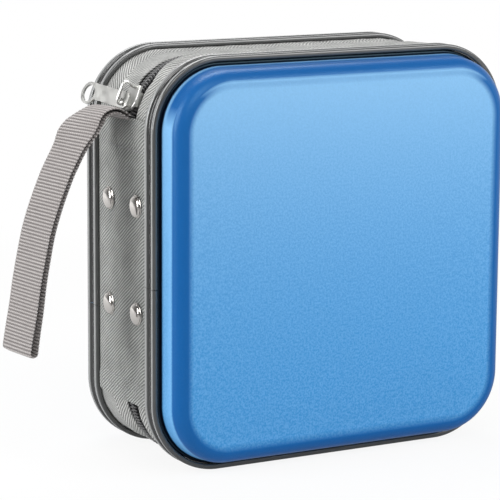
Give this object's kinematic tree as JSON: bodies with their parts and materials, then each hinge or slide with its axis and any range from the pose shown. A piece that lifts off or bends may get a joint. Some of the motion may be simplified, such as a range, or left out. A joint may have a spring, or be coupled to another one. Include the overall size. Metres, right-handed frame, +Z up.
{
  "type": "disc storage case",
  "caption": "Hard-shell zip case for discs with two moulded shells, ridged rims, fabric gusset, riveted spine, bound sleeves and a folded webbing hand strap.",
  "frame": {"origin": "centre of the whole outline in X and Y, on the surface that the rims stand on", "axes": "+X from the spine to the opening edge, -Y out of the front cover, +Z up"},
  "size_m": [0.1986, 0.08, 0.159],
  "materials": {
    "blue_shell": "satin, finely grained",
    "grey_rim": "satin",
    "grey_twill": "twill weave",
    "patch_cloth": "plain weave",
    "lining_cloth": "brushed",
    "tape_cloth": "woven",
    "coil_nylon": "satin",
    "nickel": "nickel plated",
    "binder_plastic": "satin",
    "sleeve_film": "film and fleece",
    "webbing": "ribbed webbing"
  },
  "bodies": {
    "spine": {"spine_base": "grey_twill", "spine_patch": "patch_cloth", "front_binder": "binder_plastic", "back_binder": "binder_plastic", "rivet_1": "nickel", "rivet_2": "nickel", "rivet_3": "nickel", "rivet_4": "nickel", "washer_1": "nickel", "washer_2": "nickel", "washer_3": "nickel", "washer_4": "nickel", "front_sleeves": "sleeve_film", "back_sleeves": "sleeve_film", "hand_strap": "webbing"},
    "front_cover": {"front_shell": "blue_shell", "front_lining": "lining_cloth", "front_rim": "grey_rim", "front_gusset": "grey_twill", "front_zip_tape": "tape_cloth", "front_zip_coil": "coil_nylon"},
    "back_cover": {"back_shell": "blue_shell", "back_lining": "lining_cloth", "back_rim": "grey_rim", "back_gusset": "grey_twill", "back_zip_tape": "tape_cloth", "back_zip_coil": "coil_nylon"},
    "slider": {"slider_body": "nickel"},
    "pull_tab": {"pull_tab": "nickel"}
  },
  "joints": [
    {"name": "front_cover_turn", "type": "hinge", "parent": "spine", "child": "front_cover", "pos_m": [-0.05566, -0.021, 0.0795], "axis": [0, 0, -1], "range_deg": [0, 90], "deforming": ["front_gusset", "front_zip_tape", "front_zip_coil"]},
    {"name": "back_cover_turn", "type": "hinge", "parent": "spine", "child": "back_cover", "pos_m": [-0.05566, 0.021, 0.0795], "axis": [0, 0, 1], "range_deg": [0, 90], "deforming": ["back_gusset", "back_zip_tape", "back_zip_coil"]},
    {"name": "slider_run", "type": "hinge", "parent": "spine", "child": "slider", "pos_m": [-0.02766, -0.006, 0.131], "axis": [0, 1, 0], "range_deg": [0, 58]},
    {"name": "pull_tab_swing", "type": "hinge", "parent": "slider", "child": "pull_tab", "pos_m": [-0.05677, -0.006, 0.14035], "axis": [0.4067, 0, 0.9135], "range_deg": [0, 28]}
  ]
}
